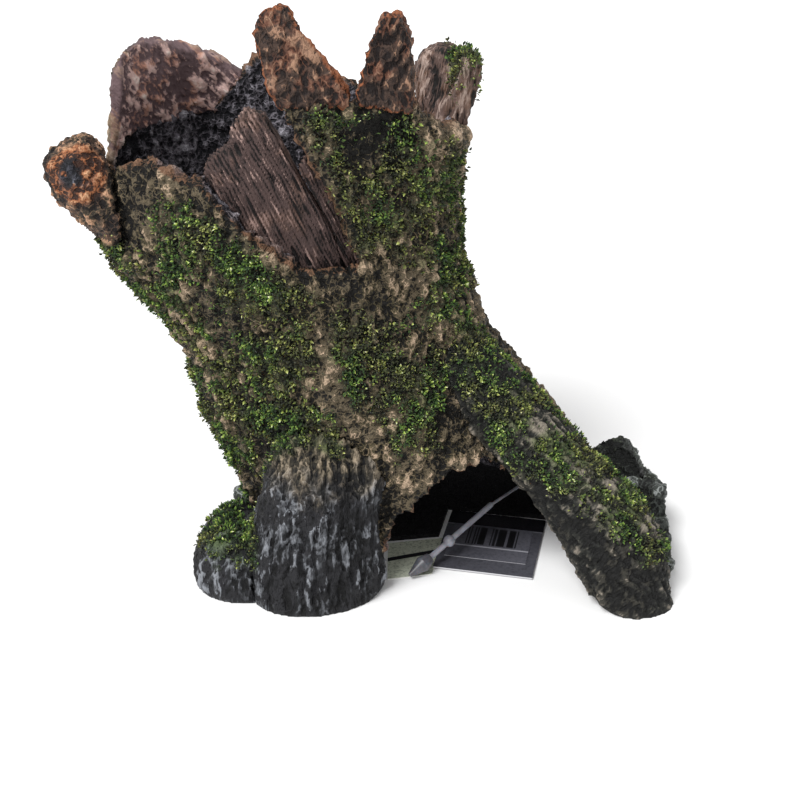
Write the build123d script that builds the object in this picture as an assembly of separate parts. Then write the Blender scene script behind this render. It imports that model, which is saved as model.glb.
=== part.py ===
"""Resin cave ornament: a hollow leaning tree stump with a cave between its roots.

Every casting, moss mat and tag piece is a solid of its own. X runs to the right, Y to the back
and Z up, in millimetres. The shapes are laid out on the floor plane in a working frame, and
the finished pieces are moved together so that the origin is the middle of the base.
"""

import os
from math import atan2, cos, hypot, pi, sin

from build123d import *

# Driving dimensions
WALL = 8.0  # thickness of the hollow trunk casting
HEART = 6.0  # thickness of the heartwood left inside the bark
MOSS = 3.0  # depth of a moss mat
FLOOR_THICK = 2.0  # the thin floor set inside the cave
FLOOR_GAP = 0.4  # glue line between that floor and the wall
SPLIT_Y = -4.0  # the plane that parts the front of the crown's rim from the back
LOBES = 5  # soft flutes round the trunk
LOBE_DEPTH = 0.035
LOBE_TWIST = 0.012  # how far the flutes turn with each millimetre of height, in radians
ROOT_LOBES = 3  # soft flutes round a root
ROOT_LOBE_TURN = 0.5
OUTLINE_POINTS = 14
FAR = 130.0  # further out than any piece reaches
BELOW = -6.0  # cutting tools start this far under the floor
ABOVE = 300.0  # and end this far above it
OVERRUN = 8.0  # the hollow runs past either end of the casting
UP = (0, 0, 1)

# Swing tag
LEAF_THICK = 0.4
CARD_THICK = 0.6
LABEL_THICK = 0.2
CARD_TURN = -12.0  # the way the card lies in the cave
TIE_THIN_R = 0.6
TIE_THICK_R = 1.15
TIE_BEAD_R = 2.4
TIE_BEAD_AT = 0.4  # how far up the thick part the bead sits
TIE_END_R = 1.2
LOCK_R = 3.3
LOCK_TIP_R = 0.9
LOCK_TAIL_R = 2.1
LOCK_TIP_LENGTH = 7.0
LOCK_TAIL_LENGTH = 4.0
LOCK_OVERLAP = 1.0  # the lock's two cones run into each other by this much
STEM_LIFT = 0.1  # the stem stops this far above the floor
STEM_R = 1.1
STEM_HOLE_R = 1.7
WALL_HOLE_R = 2.3
WALL_HOLE_BEFORE = 12.0  # how far the drill starts before the anchor
WALL_HOLE_PAST = 7.0
TIE_PAST = 4.0  # how far the tie's end ball sits past the anchor
TIE_TIP = Vector(25.2, -46.6, 4.4)  # middle of the lock head
TIE_NECK = Vector(53.7, -22.9, 18.0)  # where the thick part gives way to the thin
TIE_ANCHOR = Vector(88.5, 6, 26.3)  # where the thin part enters the drilled hole
STEM = (25.5, -44.0)  # the stem through the leaf of the tag
CARD_CORNER = (30, -42)
CARD_SIZE = (40, 44)
LEAF = [(12, -50), (29.5, -46.5), (31, -40.5), (48, -30), (46, -18), (12, -24)]
LABEL_SIZE = (33, 25)
LABEL_CORNER = (3, 9)  # on the card

# Rocks: place on the floor, width, depth and height, and the turns of the two cuts across them
ROCKS = {
    "rock_lower": ((114, -39, 0), (20, 27, 19), [(20, 30, 15), (-30, 15, 50)]),
    "rock_middle": ((112, -12, 0), (27, 30, 23), [(35, 20, 25), (-20, 40, 60)]),
    "rock_upper": ((110, 12, 0), (34, 32, 27), [(30, -25, 20), (-35, 20, 55)]),
    "rock_left": ((-38, -9, 0), (28, 30, 23), [(30, 25, 20), (-25, 35, 55)]),
}
ROCK_CUT = 1.04  # the cutting block against the stone it cuts

# The small mats: the slab of space that each one's growth is kept to
FOOT_MAT = ((-40, -40, 28), (60, 60, 20))
SHARD_MAT = ((50, 0, 195), (26, 60, 26))
SHARD_MAT_LIFT = (0, -1, 2.5)
ROOT_MAT_BACK = -22.0

# The trunk's stations from the floor up: left x and z, right x and z, middle y, half depth
TRUNK = [
    (-46, 0, 98, 0, -2, 56),
    (-48, 22, 95, 22, -2, 53),
    (-55, 42, 86, 42, -3, 52),
    (-63, 62, 70, 66, -4, 50),
    (-66, 82, 50, 94, -5, 48),
    (-74, 101, 39, 120, -5, 48),
    (-93, 122, 38, 148, -5, 49),
    (-99, 147, 43, 172, -4, 49),
    (-90, 180, 53, 207, -3, 47),
    (-87, 213, 53, 240, -2, 45),
]

# The hollow's outline on the ground, given as a station of the same kind
HOLLOW = (-45, 0, 96, 0, -2, 54)

# Roots and feet from the floor up: middle x and y, height, half width, half depth
ANKLE = [
    (-17, -52, 0, 26, 24),
    (-17, -51, 14, 26, 23),
    (-15, -49, 30, 24, 22),
    (-10, -44, 48, 25, 20),
    (-6, -38, 66, 20, 16),
]
TOE = [
    (-40, -43, 0, 25, 24),
    (-40, -42, 9, 25, 24),
    (-39, -41, 16, 23, 22),
    (-37, -38, 22, 15, 14),
]
ROOT = [
    (108, -64, 0, 14, 13),
    (103, -60, 9, 17, 15),
    (99, -55, 19, 19, 16),
    (91, -49, 32, 20, 17),
    (78, -43, 46, 19, 18),
    (62, -36, 62, 18, 17),
    (47, -30, 80, 16, 15),
    (38, -25, 96, 11, 10),
]
# The branch stub on the left: middle, half width, half height, turn about Y
STUB = [
    ((-78, -14, 132), 14, 18, 38),
    ((-89, -19, 147), 13, 16, 32),
    ((-99, -23, 159), 12, 14, 26),
    ((-103, -25, 166), 9, 11, 22),
]

# Outlines seen from the front, as (x, z) points
ARCH = [(8, BELOW), (8, 5), (10, 18), (15, 31), (20, 36), (28, 45), (38, 51), (49, 52)]
ARCH += [(60, 44), (70, 32), (76, 20), (84, 9), (90, BELOW)]
FRONT_RIM = [(-FAR, 140), (-91, 155), (-82, 161), (-70, 165), (-59, 161), (-52, 161)]
FRONT_RIM += [(-38, 146), (-18, 131), (-8, 130), (4, 129), (-4, 155), (-15, 176), (-23, 190)]
FRONT_RIM += [(-1, 190), (5, 190), (13, 188), (22, 185), (30, 177), (38, 172)]
FRONT_RIM += [(46, 165), (FAR, 160)]
BACK_RIM = [(-FAR, 140), (-102, 147), (-92, 155), (-86, 165), (-56, 166), (-45, 178)]
BACK_RIM += [(-39, 184), (-28, 184), (-18, 175), (-11, 171), (-7, 175), (-2, 175), (3, 169)]
BACK_RIM += [(24, 170)]
BACK_RIM += [(46, 165), (FAR, 160)]
BACK_SHARD = [(-92, 155), (-90, 172), (-89, 188), (-85, 194), (-79, 197), (-70, 194), (-58, 187)]
BACK_SHARD += [(-45, 178), (-56, 166), (-86, 165)]
MID_SPIKE = [(-23, 190), (-27, 202), (-30, 214), (-28, 220), (-21, 221), (-17, 213)]
MID_SPIKE += [(-10, 204), (-4, 195), (-1, 190)]
RIGHT_SPIKE = [(3, 190), (5, 199), (8, 210), (12, 217), (17, 216), (20, 212), (21, 203)]
RIGHT_SPIKE += [(22, 185), (13, 188), (5, 190)]
RIGHT_SHARD = [(24, 170), (23, 181), (25, 187), (32, 192), (44, 193), (52, 186), (52, 164.6)]
RIGHT_SHARD += [(46, 165)]
SLAB = [(-10, 112), (-30, 126), (-40, 150), (-52, 162), (-50, 168), (-42, 174), (-41, 180)]
SLAB += [(-36, 186), (-29, 185), (-21, 169), (-8, 144), (-3, 128), (-3, 112)]
SLIVER = [(-2.5, 112), (-2.5, 128), (-7.5, 144), (-18, 167), (-14, 172), (-6, 155), (2, 130)]
SLIVER += [(6, 112)]

# The cave's floor seen from above: it stops just short of the swing tag
CAVE_FLOOR = [(-70, -22), (12, -22), (33, -18.5), (37.5, 3), (80, -5.5), (110, -5.5)]
CAVE_FLOOR += [(110, 70), (-70, 70)]

# Where the moss mats lie, seen from the front
MATS = {
    "moss_right_wall": [(-12, 186), (18, 181), (29, 173), (38, 165), (44, 150), (42, 130)]
    + [(46, 110), (28, 121), (19, 134), (8, 143), (4, 137), (-1, 155), (-9, 175)],
    "moss_left_wall": [(-71, 152), (-58, 153), (-42, 143), (-28, 131), (-12, 121), (-19, 110)]
    + [(-12, 94), (-24, 80), (-39, 81), (-52, 87), (-65, 102), (-71, 115), (-65, 134)]
    + [(-72, 143)],
    "moss_left_edge": [(-98, 136), (-88, 138), (-78, 131), (-74, 116), (-68, 101), (-70, 96)]
    + [(-84, 108), (-98, 120)],
    "moss_lower_left": [(-68, 80), (-39, 79), (-20, 78), (-9, 73), (-6, 51), (-10, 41)]
    + [(-25, 43), (-36, 42), (-52, 36), (-68, 50)],
    "moss_centre": [(-3, 119), (10, 102), (28, 114), (41, 103), (49, 90), (45, 79), (32, 78)]
    + [(28, 60), (17, 56), (14, 70), (2, 82), (-7, 100)],
}
ROOT_MAT = [(43, 103), (54, 101), (73, 82), (88, 67), (99, 56), (114, 41), (124, 31)]
ROOT_MAT += [(122, 19), (110, 22), (99, 31), (88, 41), (73, 47), (62, 53), (47, 71), (39, 85)]


def station_face(station, grow):
    """One closed, softly fluted outline of the trunk, grown outwards by grow."""
    left_x, left_z, right_x, right_z, y, half_depth = station
    turn = atan2(right_z - left_z, right_x - left_x)
    half_width = hypot(right_x - left_x, right_z - left_z) / 2
    middle_z = (left_z + right_z) / 2
    plane = Plane(
        origin=((left_x + right_x) / 2, y, middle_z),
        x_dir=(cos(turn), 0, sin(turn)),
        z_dir=(-sin(turn), 0, cos(turn)),
    )
    points = []
    for step in range(OUTLINE_POINTS):
        angle = 2 * pi * step / OUTLINE_POINTS
        swell = 1 + LOBE_DEPTH * cos(LOBES * angle + middle_z * LOBE_TWIST)
        points.append(
            (
                (half_width * swell + grow) * cos(angle),
                (half_depth * swell + grow) * sin(angle),
            )
        )
    return plane * make_face(Spline(*points, periodic=True))


def trunk_form(grow, below=0.0, above=0.0):
    """The trunk's solid form, grown by grow and lengthened at either end."""
    stations = list(TRUNK)
    left_x, left_z, right_x, right_z, y, half_depth = stations[0]
    stations[0] = (left_x, left_z - below, right_x, right_z - below, y, half_depth)
    left_x, left_z, right_x, right_z, y, half_depth = stations[-1]
    stations[-1] = (left_x, left_z + above, right_x, right_z + above, y, half_depth)
    return loft([station_face(station, grow) for station in stations], ruled=True)


def round_form(stations, grow=0.0):
    """A root or foot lofted through level, softly lobed outlines."""
    faces = []
    for x, y, z, half_width, half_depth in stations:
        points = []
        for step in range(OUTLINE_POINTS):
            angle = 2 * pi * step / OUTLINE_POINTS
            swell = 1 + LOBE_DEPTH * cos(ROOT_LOBES * angle + ROOT_LOBE_TURN)
            points.append(
                (
                    x + (half_width * swell + grow) * cos(angle),
                    y + (half_depth * swell + grow) * sin(angle),
                )
            )
        faces.append(Plane.XY.offset(z) * make_face(Spline(*points, periodic=True)))
    return loft(faces)


def stub_form():
    """The branch stub, lofted through ovals that turn to face forwards."""
    faces = []
    for middle, half_width, half_height, turn in STUB:
        place = Pos(*middle) * Rotation(turn * 0.5, -turn, 0)
        faces.append((place * Ellipse(half_width, half_height)).face())
    return loft(faces)


def front_prism(points, y_front, y_back):
    """An outline seen from the front, run from y_front back to y_back."""
    face = Plane.XZ.offset(-y_back) * make_face(Polyline(*points, close=True))
    return extrude(face, amount=y_back - y_front, dir=(0, -1, 0))


def above_rim(rim, y_front, y_back):
    """Everything above one half of the crown's rim."""
    return front_prism([*rim, (FAR, ABOVE), (-FAR, ABOVE)], y_front, y_back)


def boulder(middle, size, turns):
    """A stone standing on the floor: a block with its corners knocked off."""
    width, depth, height = size
    stone = Box(width, depth, height * 2)
    for turn in turns:
        knock = Box(width * ROCK_CUT, depth * ROCK_CUT, 2 * height * ROCK_CUT)
        stone = stone & (Rotation(*turn) * knock)
    stone = stone & (Pos(0, 0, height) * Box(3 * width, 3 * depth, 2 * height))
    return Pos(*middle) * stone


def rod(start, end, radius):
    """A round rod between two points."""
    run = end - start
    return Plane(origin=start, z_dir=run) * Cylinder(
        radius, run.length, align=(Align.CENTER, Align.CENTER, Align.MIN)
    )


parts = {}

# Trunk casting
outer = trunk_form(0)
inner = trunk_form(-WALL, below=OVERRUN, above=OVERRUN)
core = outer + inner
arch = front_prism(ARCH, -FAR, 0)
wall = outer - inner
rim_front = above_rim(FRONT_RIM, -FAR, SPLIT_Y)
rim_back = above_rim(BACK_RIM, SPLIT_Y, FAR)
tie_run = (TIE_ANCHOR - TIE_NECK).normalized()
tie_end = TIE_ANCHOR + tie_run * TIE_PAST
tie_hole = rod(
    TIE_ANCHOR - tie_run * WALL_HOLE_BEFORE, TIE_ANCHOR + tie_run * WALL_HOLE_PAST, WALL_HOLE_R
)
parts["trunk_shell"] = wall - arch - rim_front - rim_back - tie_hole

hollow = extrude(station_face(HOLLOW, -WALL - FLOOR_GAP), amount=FLOOR_THICK, dir=UP)
behind_tag = extrude(make_face(Polyline(*CAVE_FLOOR, close=True)), amount=FLOOR_THICK, dir=UP)
parts["cave_floor"] = hollow & behind_tag

# Torn crown
parts["crown_back_shard"] = (outer & front_prism(BACK_SHARD, SPLIT_Y, FAR)) - inner
parts["crown_mid_spike"] = (outer & front_prism(MID_SPIKE, -FAR, SPLIT_Y)) - inner
parts["crown_right_spike"] = (outer & front_prism(RIGHT_SPIKE, -FAR, SPLIT_Y)) - inner
parts["crown_right_shard"] = (outer & front_prism(RIGHT_SHARD, SPLIT_Y, FAR)) - inner
parts["branch_stub"] = stub_form() - core

# Heartwood standing inside the torn front
heart = inner - trunk_form(-WALL - HEART, below=OVERRUN + 2, above=OVERRUN + 2)
parts["heartwood_slab"] = heart & front_prism(SLAB, -FAR, SPLIT_Y)
parts["heartwood_sliver"] = heart & front_prism(SLIVER, -FAR, SPLIT_Y)

# Feet and roots
ankle = round_form(ANKLE)
toe = round_form(TOE)
root = round_form(ROOT)
parts["left_foot"] = ankle - core
parts["left_toe"] = toe - core - ankle
parts["right_root"] = root - core

# Rocks round the base
stones = {name: boulder(*rock) for name, rock in ROCKS.items()}
parts["rock_lower"] = stones["rock_lower"] - root - core
parts["rock_middle"] = stones["rock_middle"] - root - core - stones["rock_lower"]
parts["rock_upper"] = stones["rock_upper"] - root - core - stones["rock_middle"]
parts["rock_left"] = stones["rock_left"] - core - toe - ankle

# Moss mats
stub = stub_form()
mat_form = trunk_form(MOSS) - core
root_mat_form = round_form(ROOT, MOSS)
for name, outline in MATS.items():
    mat = (mat_form & front_prism(outline, -FAR, 0)) - stub - root_mat_form - ankle
    parts[name] = mat
parts["moss_root"] = (root_mat_form & front_prism(ROOT_MAT, -FAR, ROOT_MAT_BACK)) - root - core
toe_cap = (Pos(0, 0, MOSS) * toe) & (Pos(*FOOT_MAT[0]) * Box(*FOOT_MAT[1]))
parts["moss_foot"] = toe_cap - toe - ankle - core - stones["rock_left"]
shard = parts["crown_right_shard"]
shard_cap = (Pos(*SHARD_MAT_LIFT) * shard) & (Pos(*SHARD_MAT[0]) * Box(*SHARD_MAT[1]))
parts["moss_shard"] = shard_cap - shard

# Swing tag on its nylon tie
lock_run = (TIE_NECK - TIE_TIP).normalized()
up = (Align.CENTER, Align.CENTER, Align.MIN)
lock_tip = TIE_TIP - lock_run * (LOCK_TIP_LENGTH - LOCK_OVERLAP)
lock = Plane(origin=lock_tip, z_dir=lock_run) * Cone(
    LOCK_TIP_R, LOCK_R, LOCK_TIP_LENGTH, align=up
)
lock += Plane(origin=TIE_TIP + lock_run * LOCK_OVERLAP, z_dir=lock_run) * Cone(
    LOCK_R, LOCK_TAIL_R, LOCK_TAIL_LENGTH, align=up
)
stem_foot = Vector(*STEM, STEM_LIFT)
lock += rod(stem_foot, stem_foot + Vector(0, 0, TIE_TIP.Z - 2 * LEAF_THICK), STEM_R)
parts["tag_lock"] = lock
bead = TIE_TIP + (TIE_NECK - TIE_TIP) * TIE_BEAD_AT
tie = rod(TIE_TIP + lock_run * LOCK_TAIL_LENGTH, TIE_NECK, TIE_THICK_R)
tie += Pos(*bead) * Sphere(TIE_BEAD_R)
tie += Pos(*TIE_NECK) * Sphere(TIE_THICK_R)
tie += rod(TIE_NECK, tie_end, TIE_THIN_R)
tie += Pos(*tie_end) * Sphere(TIE_END_R)
parts["tag_tie"] = tie - lock
leaf = extrude(make_face(Polyline(*LEAF, close=True)), amount=LEAF_THICK, dir=UP)
parts["tag_leaf"] = leaf - Pos(*STEM, 0) * Cylinder(STEM_HOLE_R, 10 * LEAF_THICK)
on_card = Pos(*CARD_CORNER, LEAF_THICK) * Rotation(0, 0, CARD_TURN)
on_top = on_card * Pos(*LABEL_CORNER, CARD_THICK)
low = (Align.MIN, Align.MIN, Align.MIN)
parts["tag_card"] = on_card * Box(*CARD_SIZE, CARD_THICK, align=low)
parts["tag_label"] = on_top * Box(*LABEL_SIZE, LABEL_THICK, align=low)

# The origin is the middle of the base
whole = Compound([solid for part in parts.values() for solid in part.solids()]).bounding_box()
shift = Vector(
    -(whole.min.X + whole.max.X) / 2,
    -(whole.min.Y + whole.max.Y) / 2,
    -whole.min.Z,
)
print("shift", [round(v, 3) for v in shift], "size", [round(v, 2) for v in whole.size])

os.makedirs("parts", exist_ok=True)
for name, part in parts.items():
    print(name, len(part.solids()), [round(s.volume) for s in part.solids()])
    export_step(Pos(*shift) * part, f"parts/{name}.step")
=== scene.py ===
"""Looks of the resin cave ornament: bark, torn wood, rocks, moss flock and the swing tag."""

from math import pi, radians

import bmesh
import bpy
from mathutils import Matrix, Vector


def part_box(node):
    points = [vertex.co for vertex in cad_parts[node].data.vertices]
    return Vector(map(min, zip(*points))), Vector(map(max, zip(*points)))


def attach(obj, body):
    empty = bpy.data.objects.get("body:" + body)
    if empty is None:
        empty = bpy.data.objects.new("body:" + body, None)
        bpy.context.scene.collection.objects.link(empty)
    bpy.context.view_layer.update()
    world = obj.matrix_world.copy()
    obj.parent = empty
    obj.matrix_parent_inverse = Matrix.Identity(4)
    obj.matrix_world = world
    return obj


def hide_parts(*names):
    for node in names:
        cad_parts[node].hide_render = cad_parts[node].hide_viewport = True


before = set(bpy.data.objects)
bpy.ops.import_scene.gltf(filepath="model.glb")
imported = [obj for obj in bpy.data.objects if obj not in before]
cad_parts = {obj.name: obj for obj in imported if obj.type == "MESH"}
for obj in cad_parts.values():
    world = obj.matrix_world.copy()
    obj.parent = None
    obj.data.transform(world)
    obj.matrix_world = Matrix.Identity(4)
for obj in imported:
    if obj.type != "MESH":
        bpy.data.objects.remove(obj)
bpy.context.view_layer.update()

bl_info = {
    "name": "Resin Cave Ornament",
    "version": (1, 0, 0),
    "blender": (4, 5, 0),
    "location": "3D View > Sidebar > Cave",
    "description": "Builds the painted castings, the moss and the swing tag of a stump cave",
    "category": "Add Mesh",
}

MM = 0.001

# Kinds of node that are used often
MATH = "ShaderNodeMath"
VECTOR = "ShaderNodeVectorMath"
RANGE = "ShaderNodeMapRange"
SPLIT = "ShaderNodeSeparateXYZ"
NOISE = "ShaderNodeTexNoise"
CELLS = "ShaderNodeTexVoronoi"
MAPPING = "ShaderNodeMapping"
MIX = "ShaderNodeMix"
RAMP = "ShaderNodeValToRGB"
BUMP = "ShaderNodeBump"
STORED = "ShaderNodeAttribute"
STORE = "GeometryNodeStoreNamedAttribute"
NEAREST = "GeometryNodeProximity"
OBJECT = "GeometryNodeObjectInfo"
CHANCE = "FunctionNodeRandomValue"
SMOOTH = "SMOOTHSTEP"

ORNAMENT = "ornament"

# The stage
FLOOR_REACH = 6.0
SENSOR = 36.0  # millimetres across
KEY_DIRECTION = (0.55, 0.55, -1.0)
KEY_SPREAD = radians(30)
CAMERA_PLACE = (9.141 * MM, -514.64 * MM, 321.996 * MM)
CAMERA_TARGET = (9.137 * MM, 11.054 * MM, 54.14 * MM)

# The middle line of the hollow trunk, from the floor up
AXIS_X = 20 * MM
AXIS_Y = 7 * MM
AXIS_LEAN = -0.24  # sideways run with each unit of height, here to the left

# Relief
WARP_SIZE = 14 * MM  # the waves that the grain bends in
RIDGE_SHARPNESS = 3.6  # how steeply a ridge climbs from its furrow
SWELL_SCALE = 0.28  # the broad swellings against the ridges
GROOVE_TURN = 0.45  # how far the grooves turn round to the sides
TIE_CLEAR = 5 * MM  # no relief this near the tie
TIE_FREE = 10 * MM  # full relief from here on
SOLE = 0.5 * MM  # hardly any relief below this height
SOLE_FREE = 4 * MM  # full relief above this one
HEARTWOOD_VOXEL = 0.6 * MM  # fine enough for its thin ribs

# Moss
FRAY_SIZE = 6 * MM  # the size of the tongues at a mat's edge
FRAY_DEPTH = 12 * MM  # how far the green paint under the moss frays
PAINT_REACH = 5 * MM  # and how far past a mat it goes
PATCH_SIZE = 13 * MM  # the size of the bare patches in a mat
CLUMP_SIZE = 3.5 * MM

# The broken face of the branch stub, in the frame's coordinates
BRANCH_FACE = (-106 * MM, -24.9 * MM, 162.6 * MM)
BRANCH_FACE_RADIUS = 11.5 * MM

# Printing on the swing tag, measured from the middle of the card or label
CARD_TURN = radians(-12)  # the way the card lies
HEADER_UP = 12 * MM  # the dark header starts here
BAR_WIDTH = 0.55 * MM
BARS_MIDDLE = (1.5 * MM, 4.5 * MM)  # across and up the label
BARS_HALF = (11.5 * MM, 6.5 * MM)
RULE_UP = -3.6 * MM
RULE_HALF = 0.4 * MM
LEAF_LINE_TURN = -0.32  # the slope of the leaf's line, which is placed from the origin
LEAF_LINE_UP = -26.5 * MM
LEAF_LINE_HALF = 1.3 * MM

MOSS_NODES = (
    "moss_right_wall",
    "moss_left_wall",
    "moss_left_edge",
    "moss_lower_left",
    "moss_centre",
    "moss_root",
    "moss_foot",
    "moss_shard",
)


def linear(code):
    """Turn an sRGB hex colour into the linear one that Blender works in."""
    parts = [int(code[i : i + 2], 16) / 255 for i in (1, 3, 5)]
    return (*(c / 12.92 if c <= 0.04045 else ((c + 0.055) / 1.055) ** 2.4 for c in parts), 1.0)


def node(tree, kind, inputs=(), out=0, stops=(), **settings):
    """Add one node with its settings, fill its sockets with values or links, and give an output.

    inputs are listed in the sockets' order or given by socket; out=None gives every output, and
    stops are a colour ramp's (position, colour) pairs.
    """
    made = tree.nodes.new(kind)
    for name, value in settings.items():
        setattr(made, name, value)
    for key, value in inputs.items() if isinstance(inputs, dict) else enumerate(inputs):
        if isinstance(value, bpy.types.NodeSocket):
            tree.links.new(value, made.inputs[key])
        else:
            made.inputs[key].default_value = value
    if stops:
        elements = made.color_ramp.elements
        while len(elements) < len(stops):
            elements.new(0.5)
        for element, (position, colour) in zip(elements, stops):
            element.position = position
            element.color = linear(colour) if isinstance(colour, str) else colour
    return made.outputs if out is None else made.outputs[out]


# ---------------------------------------------------------------- sizes and colours


class CaveCastings(bpy.types.PropertyGroup):
    """Sizes of the painted castings' relief."""

    trunk_voxel: bpy.props.FloatProperty(
        name="Trunk mesh", description="Cell of the trunk's mesh", default=1.35 * MM, unit="LENGTH"
    )
    small_voxel: bpy.props.FloatProperty(
        name="Fine mesh", description="Cell of the smaller castings' mesh", default=0.9 * MM,
        unit="LENGTH",
    )
    ridge_spacing: bpy.props.FloatProperty(
        name="Ridge spacing", description="Distance between bark ridges", default=5.5 * MM,
        unit="LENGTH",
    )
    ridge_depth: bpy.props.FloatProperty(
        name="Ridge depth", description="Depth of the bark's furrows", default=2.6 * MM,
        unit="LENGTH",
    )
    lump_size: bpy.props.FloatProperty(
        name="Lump size", description="Size of the bark's knobs", default=3.4 * MM, unit="LENGTH"
    )
    lump_depth: bpy.props.FloatProperty(
        name="Lump depth", description="Height of the bark's knobs", default=1.4 * MM,
        unit="LENGTH",
    )
    rim_swell: bpy.props.FloatProperty(
        name="Rim swell", description="How far the torn edges swell to meet each other",
        default=1.5 * MM, unit="LENGTH",
    )
    lean: bpy.props.FloatProperty(
        name="Grain lean", description="How far the grain leans to the left",
        default=radians(14), subtype="ANGLE",
    )


class CaveMoss(bpy.types.PropertyGroup):
    """Sizes and colours of the moss flock."""

    leaf_length: bpy.props.FloatProperty(
        name="Leaf length", description="Length of a moss leaf", default=1.6 * MM, unit="LENGTH"
    )
    density: bpy.props.FloatProperty(
        name="Density", description="Leaves to a square millimetre", default=6.0, min=0.1
    )
    reach: bpy.props.FloatProperty(
        name="Reach", description="How far the moss grows past its mat", default=4 * MM,
        unit="LENGTH",
    )
    ragged: bpy.props.FloatProperty(
        name="Ragged edge", description="How uneven a mat's edge is", default=11 * MM,
        unit="LENGTH",
    )
    shade: bpy.props.FloatVectorProperty(
        name="Shade", description="Colour deep in the moss", subtype="COLOR", size=4,
        default=linear("#0d140a"), min=0, max=1,
    )
    leaf: bpy.props.FloatVectorProperty(
        name="Leaf", description="Main colour of the leaves", subtype="COLOR", size=4,
        default=linear("#2e4d1d"), min=0, max=1,
    )
    # the tips' colour is a painted highlight on the leaves, and shade is the painted shade deep in
    # the moss
    tip: bpy.props.FloatVectorProperty(
        name="Tip", description="Colour of the lightest tips", subtype="COLOR", size=4,
        default=linear("#a9be58"), min=0, max=1,
    )


class CaveStage(bpy.types.PropertyGroup):
    """The floor, the light and the camera."""

    floor: bpy.props.FloatVectorProperty(
        name="Floor", description="Colour of the floor", subtype="COLOR", size=4,
        default=linear("#f6f6f6"), min=0, max=1,
    )
    key: bpy.props.FloatProperty(
        name="Key light", description="Strength of the main light", default=3.0, min=0
    )
    fill: bpy.props.FloatProperty(
        name="Fill", description="Strength of the light from all round", default=0.72, min=0
    )
    lens: bpy.props.FloatProperty(
        name="Lens", description="Focal length in millimetres", default=65.0, min=1
    )


# ---------------------------------------------------------------- meshes and trees


def new_object(name, mesh):
    """Put a mesh into the scene at the origin."""
    made = bpy.data.objects.new(name, mesh)
    bpy.context.scene.collection.objects.link(made)
    return made


def merged_copy(name, piece):
    """Copy the mesh of a frame node, with its loose triangles joined up."""
    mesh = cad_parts[name].data.copy()
    work = bmesh.new()
    work.from_mesh(mesh)
    bmesh.ops.remove_doubles(work, verts=work.verts, dist=0.002 * MM)
    work.to_mesh(mesh)
    work.free()
    mesh.materials.clear()
    return new_object(piece, mesh)


def bake(piece):
    """Make what the modifiers give into the piece's own plain mesh."""
    graph = bpy.context.evaluated_depsgraph_get()
    graph.update()
    mesh = bpy.data.meshes.new_from_object(
        piece.evaluated_get(graph), preserve_all_data_layers=True, depsgraph=graph
    )
    piece.modifiers.clear()
    old = piece.data
    piece.data = mesh
    bpy.data.meshes.remove(old)
    mesh.name = piece.name
    return piece


def run_tree(piece, tree, values):
    """Put a tree on a piece, set its named inputs, and keep the result as a plain mesh."""
    modifier = piece.modifiers.new(tree.name, "NODES")
    modifier.node_group = tree
    for item in tree.interface.items_tree:
        if item.item_type == "SOCKET" and item.in_out == "INPUT" and item.name in values:
            modifier[item.identifier] = values[item.name]
    return bake(piece)


def new_tree(name, sockets):
    """Start a Geometry Nodes tree with named inputs."""
    tree = bpy.data.node_groups.new(name, "GeometryNodeTree")
    tree.interface.new_socket("Geometry", in_out="INPUT", socket_type="NodeSocketGeometry")
    tree.interface.new_socket("Geometry", in_out="OUTPUT", socket_type="NodeSocketGeometry")
    for label, kind, default in sockets:
        socket = tree.interface.new_socket(
            label, in_out="INPUT", socket_type="NodeSocket" + kind
        )
        if default is not None:
            socket.default_value = default
    return tree, tree.nodes.new("NodeGroupInput").outputs, tree.nodes.new("NodeGroupOutput")


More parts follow.
